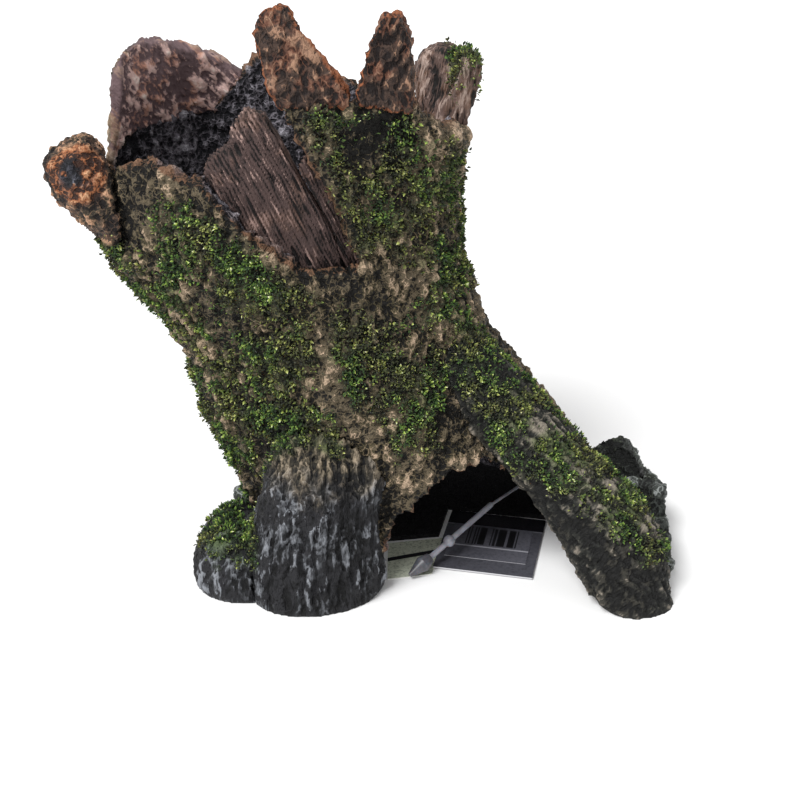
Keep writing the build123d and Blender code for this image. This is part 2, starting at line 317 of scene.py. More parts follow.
def relief_tree():
    """The carved relief of a casting: furrows along the grain, knobs, and swelling under moss."""
    tree, given, result = new_tree(
        "Casting relief",
        [
            ("Spacing", "Float", 5 * MM),
            ("Depth", "Float", 2 * MM),
            ("Stretch", "Float", 2.0),
            ("Lean", "Float", 0.0),
            ("Lump Size", "Float", 4 * MM),
            ("Lump Depth", "Float", 1 * MM),
            ("Warp", "Float", 3 * MM),
            ("Groove Spacing", "Float", 1.4 * MM),
            ("Groove Depth", "Float", 0.0),
            ("Seed", "Float", 0.0),
            ("Swell", "Float", 0.3 * MM),
            ("Rim Swell", "Float", 0.0),
            ("Moss Swell", "Float", 1.2 * MM),
            ("Moss Mats", "Object", None),
            ("Tie", "Object", None),
            ("Material", "Material", None),
        ],
    )
    place = node(tree, "GeometryNodeInputPosition")
    normal = node(tree, "GeometryNodeInputNormal")
    bend = node(
        tree,
        NOISE,
        {"Vector": place, "W": given["Seed"], "Scale": 1 / WARP_SIZE, "Detail": 2.0},
        out="Color",
        noise_dimensions="4D",
    )
    bend = node(tree, VECTOR, (bend, (0.5, 0.5, 0.5)), operation="SUBTRACT")
    bend = node(tree, VECTOR, {0: bend, "Scale": given["Warp"]}, operation="SCALE")
    warped = node(tree, VECTOR, (place, bend), operation="ADD")
    turned = node(
        tree,
        "ShaderNodeVectorRotate",
        {"Vector": warped, "Angle": given["Lean"]},
        rotation_type="Y_AXIS",
    )
    across = node(tree, MATH, (1.0, given["Spacing"]), operation="DIVIDE")
    along = node(tree, MATH, (across, given["Stretch"]), operation="DIVIDE")
    squeeze = node(tree, "ShaderNodeCombineXYZ", (across, across, along))
    grain = node(tree, VECTOR, (turned, squeeze), operation="MULTIPLY")
    ridge = node(
        tree,
        NOISE,
        {"Vector": grain, "W": given["Seed"], "Scale": 1.0, "Detail": 5.0, "Roughness": 0.6},
        out="Fac",
        noise_dimensions="4D",
    )
    ridge = node(tree, MATH, (ridge, 2.0, -1.0), operation="MULTIPLY_ADD")
    ridge = node(tree, MATH, (ridge,), operation="ABSOLUTE")
    ridge = node(tree, MATH, (ridge, RIDGE_SHARPNESS, 0.0), operation="MULTIPLY_ADD")
    ridge = node(tree, MATH, (ridge, 1.0), operation="MINIMUM")
    lump_scale = node(tree, MATH, (1.0, given["Lump Size"]), operation="DIVIDE")
    lump = node(
        tree,
        CELLS,
        {"Vector": warped, "W": given["Seed"], "Scale": lump_scale, "Smoothness": 0.35},
        out="Distance",
        voronoi_dimensions="4D",
        feature="SMOOTH_F1",
    )
    lump = node(tree, RANGE, (lump, 0.15, 0.75, 1.0, 0.0), interpolation_type=SMOOTH)
    broad = node(
        tree,
        NOISE,
        {"Vector": grain, "W": given["Seed"], "Scale": SWELL_SCALE, "Detail": 1.5},
        out="Fac",
        noise_dimensions="4D",
    )
    # each part is centred on nought, scaled by its depth and added to the height
    ridge = node(tree, MATH, (ridge, 0.55), operation="SUBTRACT")
    height = node(tree, MATH, (ridge, given["Depth"]), operation="MULTIPLY")
    lump = node(tree, MATH, (lump, 0.5), operation="SUBTRACT")
    height = node(tree, MATH, (lump, given["Lump Depth"], height), operation="MULTIPLY_ADD")
    broad = node(tree, MATH, (broad, 2.4, -1.2), operation="MULTIPLY_ADD")
    height = node(tree, MATH, (broad, given["Depth"], height), operation="MULTIPLY_ADD")
    # regular grooves side by side, each as sharp as a tool's cut
    sides = node(tree, SPLIT, (turned,), out=None)
    side = node(tree, MATH, (sides[1], GROOVE_TURN, sides[0]), operation="MULTIPLY_ADD")
    side = node(tree, MATH, (side, given["Groove Spacing"]), operation="DIVIDE")
    side = node(tree, MATH, (side, pi), operation="MULTIPLY")
    groove = node(tree, MATH, (side,), operation="SINE")
    groove = node(tree, MATH, (groove,), operation="ABSOLUTE")
    groove = node(tree, MATH, (groove, 0.6), operation="SUBTRACT")
    height = node(tree, MATH, (groove, given["Groove Depth"], height), operation="MULTIPLY_ADD")
    # the height from 0 in the hollows to 1 on the crests, which the paint and the painted shade in
    # the hollows are laid by
    span = node(tree, MATH, (given["Depth"], given["Lump Depth"]), operation="ADD")
    span = node(tree, MATH, (span, given["Groove Depth"]), operation="ADD")
    relief = node(tree, MATH, (height, span), operation="DIVIDE")
    relief = node(tree, MATH, (relief, 0.9, 0.5), operation="MULTIPLY_ADD")
    mats = node(tree, OBJECT, (given["Moss Mats"],), out="Geometry")
    near = node(
        tree, NEAREST, {0: mats, "Sample Position": place}, out="Distance", target_element="FACES"
    )
    edge = node(tree, NOISE, {"Vector": place, "Scale": 1 / FRAY_SIZE, "Detail": 3.0}, out="Fac")
    fray = node(tree, MATH, (edge, 0.5), operation="SUBTRACT")
    near = node(tree, MATH, (fray, FRAY_DEPTH, near), operation="MULTIPLY_ADD")
    moss = node(tree, RANGE, (near, -0.5 * MM, PAINT_REACH, 1.0, 0.0), interpolation_type=SMOOTH)
    bare = node(tree, NOISE, {"Vector": place, "Scale": 1 / PATCH_SIZE, "Detail": 2.0}, out="Fac")
    bare = node(tree, RANGE, (bare, 0.4, 0.56, 0.05, 1.0), interpolation_type=SMOOTH)
    moss = node(tree, MATH, (moss, bare), operation="MULTIPLY")
    swell = node(tree, MATH, (moss, edge), operation="MULTIPLY")
    height = node(tree, MATH, (swell, given["Moss Swell"], height), operation="MULTIPLY_ADD")
    # the middle line of the hollow, so that the inside of the wall is told from the outside
    split = node(tree, SPLIT, (place,), out=None)
    middle_x = node(tree, MATH, (split[2], AXIS_LEAN, AXIS_X), operation="MULTIPLY_ADD")
    out_x = node(tree, MATH, (split[0], middle_x), operation="SUBTRACT")
    out_y = node(tree, MATH, (split[1], AXIS_Y), operation="SUBTRACT")
    outwards = node(tree, "ShaderNodeCombineXYZ", (out_x, out_y))
    outwards = node(tree, VECTOR, (outwards,), operation="NORMALIZE")
    facing = node(tree, VECTOR, (outwards, normal), out="Value", operation="DOT_PRODUCT")
    # the torn edges swell a little, so that neighbouring castings meet without a gap
    across = node(tree, MATH, (facing,), operation="ABSOLUTE")
    rim = node(tree, RANGE, (across, 0.35, 0.75, 1.0, 0.0), interpolation_type=SMOOTH)
    height = node(tree, MATH, (rim, given["Rim Swell"], height), operation="MULTIPLY_ADD")
    height = node(tree, MATH, (height, given["Swell"]), operation="ADD")
    # the wall stays as it is round the tie, which needs its drilled hole
    tie = node(tree, OBJECT, (given["Tie"],), out="Geometry")
    clear = node(
        tree, NEAREST, {0: tie, "Sample Position": place}, out="Distance", target_element="FACES"
    )
    clear = node(tree, RANGE, (clear, TIE_CLEAR, TIE_FREE), interpolation_type=SMOOTH)
    height = node(tree, MATH, (height, clear), operation="MULTIPLY")
    # the soles stay flat
    rise = node(tree, SPLIT, (place,), out=2)
    rise = node(tree, RANGE, (rise, SOLE, SOLE_FREE, 0.1, 1.0), interpolation_type=SMOOTH)
    height = node(tree, MATH, (height, rise), operation="MULTIPLY")
    offset = node(tree, VECTOR, {0: normal, "Scale": height}, operation="SCALE")
    geometry = given["Geometry"]
    for name, value in (("relief", relief), ("moss", moss), ("facing", facing)):
        geometry = node(
            tree,
            STORE,
            {"Geometry": geometry, "Name": name, "Value": value},
            data_type="FLOAT",
            domain="POINT",
        )
    geometry = node(tree, "GeometryNodeSetPosition", {"Geometry": geometry, "Offset": offset})
    geometry = node(
        tree, "GeometryNodeSetShadeSmooth", {"Geometry": geometry, "Shade Smooth": True}
    )
    geometry = node(tree, "GeometryNodeRealizeInstances", {"Geometry": geometry})
    geometry = node(
        tree, "GeometryNodeSetMaterial", {"Geometry": geometry, "Material": given["Material"]}
    )
    tree.links.new(geometry, result.inputs[0])
    return tree


def moss_tree():
    """Moss leaves scattered over the castings where a mat lies, leaning every way."""
    tree, given, result = new_tree(
        "Moss leaves",
        [
            ("Mat", "Object", None),
            ("Leaf", "Object", None),
            ("Length", "Float", 2 * MM),
            ("Density", "Float", 2.0e6),
            ("Reach", "Float", 1 * MM),
            ("Ragged", "Float", 4 * MM),
            ("Seed", "Int", 0),
            ("Material", "Material", None),
        ],
    )
    place = node(tree, "GeometryNodeInputPosition")
    mat = node(tree, OBJECT, (given["Mat"],), out="Geometry")
    near = node(
        tree, NEAREST, {0: mat, "Sample Position": place}, out="Distance", target_element="FACES"
    )
    edge = node(tree, NOISE, {"Vector": place, "Scale": 1 / FRAY_SIZE, "Detail": 3.0}, out="Fac")
    fray = node(tree, MATH, (edge, 0.5), operation="SUBTRACT")
    near = node(tree, MATH, (fray, given["Ragged"], near), operation="MULTIPLY_ADD")
    beyond = node(tree, MATH, (near, given["Reach"]), operation="GREATER_THAN")
    ground = node(
        tree,
        "GeometryNodeDeleteGeometry",
        {"Geometry": given["Geometry"], "Selection": beyond},
        domain="FACE",
    )
    clump = node(tree, NOISE, {"Vector": place, "Scale": 1 / CLUMP_SIZE, "Detail": 2.0}, out="Fac")
    broad = node(tree, NOISE, {"Vector": place, "Scale": 1 / PATCH_SIZE, "Detail": 2.0}, out="Fac")
    relief = node(tree, "GeometryNodeInputNamedAttribute", {"Name": "relief"}, data_type="FLOAT")
    # thick in the clumps, thin in the bare patches, at the mat's edge and on the ridges
    thick = node(tree, RANGE, (clump, 0.38, 0.6, 0.12, 1.0), interpolation_type=SMOOTH)
    density = node(tree, MATH, (thick, given["Density"]), operation="MULTIPLY")
    thick = node(tree, RANGE, (broad, 0.4, 0.56, 0.06, 1.0), interpolation_type=SMOOTH)
    density = node(tree, MATH, (density, thick), operation="MULTIPLY")
    thick = node(
        tree, RANGE, (near, -1.5 * MM, given["Reach"], 1.0, 0.04), interpolation_type=SMOOTH
    )
    density = node(tree, MATH, (density, thick), operation="MULTIPLY")
    thick = node(tree, RANGE, (relief, 0.5, 0.75, 1.0, 0.1), interpolation_type=SMOOTH)
    density = node(tree, MATH, (density, thick), operation="MULTIPLY")
    spread = node(
        tree,
        "GeometryNodeDistributePointsOnFaces",
        {"Mesh": ground, "Density": density, "Seed": given["Seed"]},
        out=None,
        distribute_method="RANDOM",
    )
    scatter = node(
        tree,
        CHANCE,
        {0: (-1.0, -1.0, -1.0), 1: (1.0, 1.0, 1.0), "Seed": given["Seed"]},
        data_type="FLOAT_VECTOR",
    )
    scatter = node(tree, VECTOR, {0: scatter, "Scale": 0.75}, operation="SCALE")
    towards = node(tree, VECTOR, (spread["Normal"], scatter), operation="ADD")
    towards = node(tree, VECTOR, (towards, (0.0, -0.1, 0.2)), operation="ADD")
    turn = node(tree, "FunctionNodeAlignRotationToVector", {"Vector": towards}, axis="Z")
    spin = node(tree, CHANCE, {2: 0.0, 3: 2 * pi, "Seed": 7}, out=1, data_type="FLOAT")
    spin = node(tree, "ShaderNodeCombineXYZ", {2: spin})
    spin = node(tree, "FunctionNodeEulerToRotation", (spin,))
    turn = node(tree, "FunctionNodeRotateRotation", (turn, spin), rotation_space="LOCAL")
    chance = node(tree, CHANCE, {2: 0.0, 3: 1.0, "Seed": 11}, out=1, data_type="FLOAT")
    size = node(tree, MATH, (chance, 0.8, 0.5), operation="MULTIPLY_ADD")
    size = node(tree, MATH, (size, given["Length"]), operation="MULTIPLY")
    lift = node(tree, MATH, (chance, 0.9 * MM, -0.3 * MM), operation="MULTIPLY_ADD")
    lift = node(tree, VECTOR, {0: spread["Normal"], "Scale": lift}, operation="SCALE")
    points = node(
        tree, "GeometryNodeSetPosition", {"Geometry": spread["Points"], "Offset": lift}
    )
    leaf = node(tree, OBJECT, (given["Leaf"], True), out="Geometry")
    placed = node(
        tree,
        "GeometryNodeInstanceOnPoints",
        {"Points": points, "Instance": leaf, "Rotation": turn, "Scale": size},
    )
    # paler in the clumps, with some chance in every leaf
    paler = node(tree, RANGE, (clump, 0.35, 0.65), interpolation_type=SMOOTH)
    paler = node(tree, MATH, (paler, 0.45), operation="MULTIPLY")
    chance = node(tree, CHANCE, {2: 0.0, 3: 1.0, "Seed": 23}, out=1, data_type="FLOAT")
    tint = node(tree, MATH, (chance, 0.55, paler), operation="MULTIPLY_ADD")
    placed = node(
        tree,
        STORE,
        {"Geometry": placed, "Name": "tint", "Value": tint},
        data_type="FLOAT",
        domain="INSTANCE",
    )
    leaves = node(tree, "GeometryNodeRealizeInstances", {"Geometry": placed})
    leaves = node(
        tree, "GeometryNodeSetMaterial", {"Geometry": leaves, "Material": given["Material"]}
    )
    tree.links.new(leaves, result.inputs[0])
    return tree


# ---------------------------------------------------------------- finishes


def new_material(name, roughness=0.6, specular=0.35):
    """Start a finish: its tree, its shader and the object's own coordinates."""
    made = bpy.data.materials.new(name)
    made.use_nodes = True
    shader = made.node_tree.nodes["Principled BSDF"]
    shader.inputs["Roughness"].default_value = roughness
    shader.inputs["Specular IOR Level"].default_value = specular
    place = node(made.node_tree, "ShaderNodeTexCoord", out="Object")
    return made, made.node_tree, shader, place


def bark_above(tree, place, level, colour, dark, upper):
    """Bark colours on the top of a foot, where it runs up into the trunk."""
    uneven = node(
        tree,
        NOISE,
        {"Vector": place, "W": 0.0, "Scale": 1 / (8 * MM), "Detail": 3.0, "Roughness": 0.55},
        out="Fac",
        noise_dimensions="4D",
    )
    rise = node(tree, SPLIT, (place,), out=2)
    rise = node(tree, MATH, (uneven, 30 * MM, rise), operation="MULTIPLY_ADD")
    share = node(tree, RANGE, (rise, 56 * MM, 76 * MM), interpolation_type=SMOOTH)
    bark = node(tree, RAMP, (level,), stops=[(0.2, dark), (0.46, upper), (0.9, "#9c8d78")])
    return node(tree, MIX, {0: share, 6: colour, 7: bark}, out=2, data_type="RGBA")


def broken_face(tree, place, level, colour):
    """The branch's broken face: a terracotta ring round a blue-grey heart."""
    away = node(tree, VECTOR, (place, BRANCH_FACE), out="Value", operation="DISTANCE")
    away = node(tree, MATH, (away, BRANCH_FACE_RADIUS), operation="DIVIDE")
    face = node(tree, RANGE, (away, 0.9, 1.15, 1.0, 0.0), interpolation_type=SMOOTH)
    ring = node(
        tree, RAMP, (level,), stops=[(0.2, "#3a241b"), (0.45, "#a0633f"), (0.85, "#d3a27c")]
    )
    colour = node(tree, MIX, {0: face, 6: colour, 7: ring}, out=2, data_type="RGBA")
    stain = node(
        tree,
        NOISE,
        {"Vector": place, "W": 4.0, "Scale": 1 / (5 * MM), "Detail": 2.0, "Roughness": 0.5},
        out="Fac",
        noise_dimensions="4D",
    )
    stain = node(tree, RANGE, (stain, 0.4, 0.5), interpolation_type=SMOOTH)
    middle = node(tree, RANGE, (away, 0.35, 0.8, 1.0, 0.0), interpolation_type=SMOOTH)
    middle = node(tree, MATH, (middle, stain), operation="MULTIPLY")
    heart = node(
        tree, RAMP, (level,), stops=[(0.25, "#1c1c21"), (0.6, "#42424b"), (0.95, "#7c7c84")]
    )
    return node(tree, MIX, {0: middle, 6: colour, 7: heart}, out=2, data_type="RGBA")


def painted_resin(name, dark, body, crest, patch, patch_share=0.5, inside=None, moss=None,
                  edge=None, vein_mm=3.0, vein_share=0.8, pit_share=1.0, crest_at=0.84,
                  stretch=(1.0, 1.0, 1.0), lean=0.0, upper=None, outside=None, broken=False):
    """Cast polyester resin with a dark wash in the hollows that doubles as painted shade there, and
    pale paint brushed on the crests.

    The paint is matt, so highlights are wide and faint; colour comes from the relief itself.
    dark, body and crest run from the hollows to the crests, and patch takes body's place in
    soft patches. The other colours are for the parts that they are named after.
    """
    made, tree, shader, place = new_material(name, 0.62, 0.3)
    grain = node(tree, MAPPING, {"Vector": place, "Rotation": (0.0, lean, 0.0)})
    grain = node(tree, MAPPING, {"Vector": grain, "Scale": stretch})
    relief = node(tree, STORED, out="Fac", attribute_name="relief")
    grit = node(
        tree,
        NOISE,
        {"Vector": grain, "W": 3.0, "Scale": 1 / (1.3 * MM), "Detail": 4.0, "Roughness": 0.65},
        out="Fac",
        noise_dimensions="4D",
    )
    fine = node(
        tree,
        NOISE,
        {"Vector": grain, "W": 5.0, "Scale": 1 / (0.6 * MM), "Detail": 2.0, "Roughness": 0.6},
        out="Fac",
        noise_dimensions="4D",
    )
    # thin squiggly crests round small hollows, as carved and cast wood shows them
    bend = node(tree, NOISE, {"Vector": grain, "Scale": 1 / (3 * MM), "Detail": 2.0}, out="Color")
    bend = node(tree, VECTOR, {0: bend, "Scale": 2.4 * MM}, operation="SCALE")
    bend = node(tree, VECTOR, (grain, bend), operation="ADD")
    gap = node(
        tree,
        CELLS,
        {"Vector": bend, "Scale": 1 / (vein_mm * MM)},
        out="Distance",
        feature="DISTANCE_TO_EDGE",
    )
    line = node(tree, RANGE, (gap, 0.03, 0.16, 1.0, 0.0), interpolation_type=SMOOTH)
    pit = node(tree, CELLS, {"Vector": bend, "Scale": 1 / (3.1 * MM)}, out="Distance", feature="F1")
    pit = node(tree, RANGE, (pit, 0.2, 0.34, 1.0, 0.0), interpolation_type=SMOOTH)
    pitted = node(
        tree,
        NOISE,
        {"Vector": place, "W": 0.0, "Scale": 1 / (7 * MM), "Detail": 2.0, "Roughness": 0.55},
        out="Fac",
        noise_dimensions="4D",
    )
    pitted = node(tree, RANGE, (pitted, 0.45, 0.6), interpolation_type=SMOOTH)
    pit = node(tree, MATH, (pit, pitted), operation="MULTIPLY")
    # the level runs low in the hollows and the pits, where the dark colour is the wash and also
    # painted shade
    level = node(tree, MATH, (grit, 0.5), operation="SUBTRACT")
    level = node(tree, MATH, (level, 1.4, relief), operation="MULTIPLY_ADD")
    level = node(tree, MATH, (line, 0.32 * vein_share, level), operation="MULTIPLY_ADD")
    level = node(tree, MATH, (level, -0.06 * vein_share), operation="ADD")
    level = node(tree, MATH, (pit, -0.5 * pit_share, level), operation="MULTIPLY_ADD")
    colour = node(
        tree,
        RAMP,
        (level,),
        stops=[(0.2, dark), (0.42, body), (crest_at - 0.2, body), (crest_at, crest)],
    )
    # a second body colour in soft patches
    share = node(
        tree,
        NOISE,
        {"Vector": place, "W": 9.0, "Scale": 1 / (11 * MM), "Detail": 3.0, "Roughness": 0.6},
        out="Fac",
        noise_dimensions="4D",
    )
    least = 0.62 - patch_share * 0.3
    share = node(tree, RANGE, (share, least, least + 0.1), interpolation_type=SMOOTH)
    second = node(
        tree, RAMP, (level,), stops=[(0.18, dark), (0.46, patch), (crest_at + 0.04, crest)]
    )
    colour = node(tree, MIX, {0: share, 6: colour, 7: second}, out=2, data_type="RGBA")
    if upper:
        colour = bark_above(tree, place, level, colour, dark, upper)
    if broken:
        colour = broken_face(tree, place, level, colour)
    # facing is 1 on the outside of the trunk, -1 on the inside and 0 along its torn edges
    if inside or outside or edge:
        facing = node(tree, STORED, out="Fac", attribute_name="facing")
    if outside:
        back = node(
            tree, RAMP, (level,), stops=[(0.2, "#0d0b08"), (0.45, outside), (0.9, "#a8937c")]
        )
        outer = node(tree, RANGE, (facing, 0.0, 0.3), interpolation_type=SMOOTH)
        colour = node(tree, MIX, {0: outer, 6: colour, 7: back}, out=2, data_type="RGBA")
    if edge:
        across = node(tree, MATH, (facing,), operation="ABSOLUTE")
        rim = node(tree, RANGE, (across, 0.3, 0.6, 0.8, 0.0), interpolation_type=SMOOTH)
        wear = node(tree, RANGE, (level, 0.25, 0.6), interpolation_type=SMOOTH)
        worn = node(
            tree, MIX, {0: wear, 6: linear(dark), 7: linear(edge)}, out=2, data_type="RGBA"
        )
        colour = node(tree, MIX, {0: rim, 6: colour, 7: worn}, out=2, data_type="RGBA")
    if inside:
        hollow = node(tree, RANGE, (facing, -0.55, -0.1, 1.0, 0.0), interpolation_type=SMOOTH)
        speck = node(
            tree, RAMP, (level,), stops=[(0.3, "#202025"), (0.6, inside), (0.95, "#b0acb4")]
        )
        colour = node(tree, MIX, {0: hollow, 6: colour, 7: speck}, out=2, data_type="RGBA")
    if moss:
        green = node(
            tree, RAMP, (level,), stops=[(0.25, "#0b1007"), (0.55, moss), (0.9, "#4a5a2c")]
        )
        under = node(tree, STORED, out="Fac", attribute_name="moss")
        under = node(tree, MATH, (under, 0.85), operation="MULTIPLY")
        colour = node(tree, MIX, {0: under, 6: colour, 7: green}, out=2, data_type="RGBA")
    tree.links.new(colour, shader.inputs["Base Color"])
    rough = node(tree, RANGE, (grit, 0.3, 0.7, 0.5, 0.78), interpolation_type=SMOOTH)
    tree.links.new(rough, shader.inputs["Roughness"])
    height = node(tree, MATH, (fine, 0.35, grit), operation="MULTIPLY_ADD")
    height = node(tree, MATH, (line, 0.45 * vein_share, height), operation="MULTIPLY_ADD")
    height = node(tree, MATH, (pit, -0.6 * pit_share, height), operation="MULTIPLY_ADD")
    bump = node(tree, BUMP, {"Strength": 1.0, "Distance": 1.3 * MM, "Height": height})
    tree.links.new(bump, shader.inputs["Normal"])
    return made


def moss_finish(settings):
    """Moss flock: short dyed nylon and foam leaves, glued on, matt with a faint sheen."""
    made, tree, shader, place = new_material("Moss flock", 0.7, 0.25)
    tint = node(tree, STORED, out="Fac", attribute_name="tint")
    tip = node(tree, STORED, out="Fac", attribute_name="tip")
    # each leaf runs from painted shade at its base, deep in the moss, to a painted highlight at its
    # tip
    level = node(tree, MATH, (tint, 0.8), operation="MULTIPLY")
    level = node(tree, MATH, (tip, 0.28, level), operation="MULTIPLY_ADD")
    fresh = node(
        tree,
        RAMP,
        (level,),
        stops=[
            (0.1, tuple(settings.shade)),
            (0.4, "#1a2f11"),
            (0.6, tuple(settings.leaf)),
            (0.78, "#5f8030"),
            (0.93, tuple(settings.tip)),
            (1.0, "#e4e8bd"),
        ],
    )
    dry = node(
        tree,
        RAMP,
        (level,),
        stops=[
            (0.1, "#0f100a"),
            (0.42, "#2a2a19"),
            (0.64, "#4a4a2a"),
            (0.8, "#6f7338"),
            (0.95, "#b3b56a"),
            (1.0, "#dcd6b8"),
        ],
    )
    # whole areas of the moss are a drier brown
    area = node(
        tree,
        NOISE,
        {"Vector": place, "W": 2.0, "Scale": 1 / (16 * MM), "Detail": 2.0, "Roughness": 0.5},
        out="Fac",
        noise_dimensions="4D",
    )
    area = node(tree, RANGE, (area, 0.42, 0.58), interpolation_type=SMOOTH)
    area = node(tree, MATH, (area, 0.75, 0.1), operation="MULTIPLY_ADD")
    colour = node(tree, MIX, {0: area, 6: fresh, 7: dry}, out=2, data_type="RGBA")
    tree.links.new(colour, shader.inputs["Base Color"])
    shader.inputs["Sheen Weight"].default_value = 0.15
    shader.inputs["Subsurface Weight"].default_value = 0.05
    shader.inputs["Subsurface Scale"].default_value = 0.5 * MM
    return made


def nylon_finish(name, dark, pale):
    """Moulded nylon: a milky, slightly clear plastic with soft highlights."""
    made, tree, shader, place = new_material(name, 0.38, 0.5)
    cloud = node(
        tree,
        NOISE,
        {"Vector": place, "W": 0.0, "Scale": 1 / (3.0 * MM), "Detail": 2.0, "Roughness": 0.55},
        out="Fac",
        noise_dimensions="4D",
    )
    colour = node(tree, RAMP, (cloud,), stops=[(0.3, dark), (0.7, pale)])
    tree.links.new(colour, shader.inputs["Base Color"])
    shader.inputs["Subsurface Weight"].default_value = 0.2
    shader.inputs["Subsurface Scale"].default_value = 1 * MM
    bump = node(tree, BUMP, {"Strength": 0.15, "Distance": 0.2 * MM, "Height": cloud})
    tree.links.new(bump, shader.inputs["Normal"])
    return made


def on_card(tree, place, node_name):
    """Coordinates across and up a piece of card, from its middle, in metres."""
    low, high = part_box(node_name)
    middle = [(a + b) / 2 for a, b in zip(low, high)]
    turned = node(
        tree,
        MAPPING,
        {"Vector": place, "Location": middle, "Rotation": (0.0, 0.0, CARD_TURN)},
        vector_type="TEXTURE",
    )
    sides = node(tree, SPLIT, (turned,), out=None)
    return sides[0], sides[1]


def paper_edge(tree, colour, core):
    """The colour of the paper's core on the cut edges of a card."""
    normal = node(tree, "ShaderNodeNewGeometry", out="Normal")
    upright = node(tree, SPLIT, (normal,), out=2)
    upright = node(tree, MATH, (upright,), operation="ABSOLUTE")
    flat = node(tree, RANGE, (upright, 0.4, 0.6), interpolation_type=SMOOTH)
    return node(tree, MIX, {0: flat, 6: linear(core), 7: colour}, out=2, data_type="RGBA")


def paper_bump(tree, shader, place):
    """The faint fibres of pressed paper."""
    fibre = node(
        tree,
        NOISE,
        {"Vector": place, "W": 0.0, "Scale": 1 / (0.5 * MM), "Detail": 3.0, "Roughness": 0.55},
        out="Fac",
        noise_dimensions="4D",
    )
    bump = node(tree, BUMP, {"Strength": 0.25, "Distance": 0.15 * MM, "Height": fibre})
    tree.links.new(bump, shader.inputs["Normal"])


def card_finish():
    """Coated card: a dark glossy header over white card painted grey as painted shade, with a pale
    paper edge.
    """
    made, tree, shader, place = new_material("Coated card", 0.35, 0.45)
    up = on_card(tree, place, "tag_card")[1]
    grain = node(
        tree,
        NOISE,
        {"Vector": place, "W": 0.0, "Scale": 1 / (1.4 * MM), "Detail": 4.0, "Roughness": 0.7},
        out="Fac",
        noise_dimensions="4D",
    )
    # the white card is painted dark grey, as painted shade of the cave it lies in
    shaded_field = node(tree, RAMP, (grain,), stops=[(0.3, "#33333a"), (0.5, "#494950"), (0.8, "#55555d")])
    head = node(tree, RAMP, (grain,), stops=[(0.3, "#08080b"), (0.6, "#131318"), (0.8, "#24242b")])
    header = node(tree, RANGE, (up, HEADER_UP, HEADER_UP + 0.4 * MM), interpolation_type=SMOOTH)
    colour = node(tree, MIX, {0: header, 6: shaded_field, 7: head}, out=2, data_type="RGBA")
    # the white line under the header is painted grey, as painted shade
    line = node(tree, MATH, (up, HEADER_UP - 0.2 * MM, 0.3 * MM), operation="COMPARE")
    colour = node(tree, MIX, {0: line, 6: colour, 7: linear("#7d7d85")}, out=2, data_type="RGBA")
    tree.links.new(paper_edge(tree, colour, "#c9c9cc"), shader.inputs["Base Color"])
    rough = node(tree, RANGE, (header, 0.0, 1.0, 0.55, 0.22))
    tree.links.new(rough, shader.inputs["Roughness"])
    shader.inputs["Coat Weight"].default_value = 0.3
    shader.inputs["Coat Roughness"].default_value = 0.25
    paper_bump(tree, shader, place)
    return made


def label_finish():
    """A printed label: plain bars of mixed width on white paper painted grey as painted shade, over
    a light rule.
    """
    made, tree, shader, place = new_material("Label paper", 0.55, 0.4)
    across, up = on_card(tree, place, "tag_label")
    grain = node(
        tree,
        NOISE,
        {"Vector": place, "W": 0.0, "Scale": 1 / (1.5 * MM), "Detail": 4.0, "Roughness": 0.7},
        out="Fac",
        noise_dimensions="4D",
    )
    # the white label paper is painted grey, as painted shade of the cave it lies in
    colour = node(
        tree, RAMP, (grain,), stops=[(0.3, "#3f3f46"), (0.5, "#56565e"), (0.8, "#606068")]
    )
    column = node(tree, MATH, (across, BAR_WIDTH), operation="DIVIDE")
    column = node(tree, MATH, (column,), operation="FLOOR")
    chance = node(
        tree, "ShaderNodeTexWhiteNoise", {"W": column}, out="Value", noise_dimensions="1D"
    )
    bar = node(tree, MATH, (chance, 0.42), operation="GREATER_THAN")
    for side, middle, half in zip((across, up), BARS_MIDDLE, BARS_HALF):
        within = node(tree, MATH, (side, middle, half), operation="COMPARE")
        bar = node(tree, MATH, (bar, within), operation="MULTIPLY")
    colour = node(tree, MIX, {0: bar, 6: colour, 7: linear("#09090c")}, out=2, data_type="RGBA")
    # the white rule is painted light grey, as painted shade
    rule = node(tree, MATH, (up, RULE_UP, RULE_HALF), operation="COMPARE")
    colour = node(tree, MIX, {0: rule, 6: colour, 7: linear("#a2a2aa")}, out=2, data_type="RGBA")
    tree.links.new(paper_edge(tree, colour, "#b4b4b8"), shader.inputs["Base Color"])
    paper_bump(tree, shader, place)
    return made


def leaf_finish():
    """Uncoated card: speckled grey green with one printed line along it."""
    made, tree, shader, place = new_material("Uncoated card", 0.8, 0.3)
    grain = node(
        tree,
        NOISE,
        {"Vector": place, "W": 0.0, "Scale": 1 / (0.9 * MM), "Detail": 4.0, "Roughness": 0.7},
        out="Fac",
        noise_dimensions="4D",
    )
    colour = node(
        tree, RAMP, (grain,), stops=[(0.36, "#83887a"), (0.5, "#c3c8b6"), (0.8, "#d4d8c8")]
    )
    along = node(tree, SPLIT, (place,), out=None)
    across = node(tree, MATH, (along[0], LEAF_LINE_TURN, along[1]), operation="MULTIPLY_ADD")
    line = node(tree, MATH, (across, LEAF_LINE_UP, LEAF_LINE_HALF), operation="COMPARE")
    colour = node(tree, MIX, {0: line, 6: colour, 7: linear("#16161a")}, out=2, data_type="RGBA")
    tree.links.new(paper_edge(tree, colour, "#d9d9d4"), shader.inputs["Base Color"])
    paper_bump(tree, shader, place)
    return made


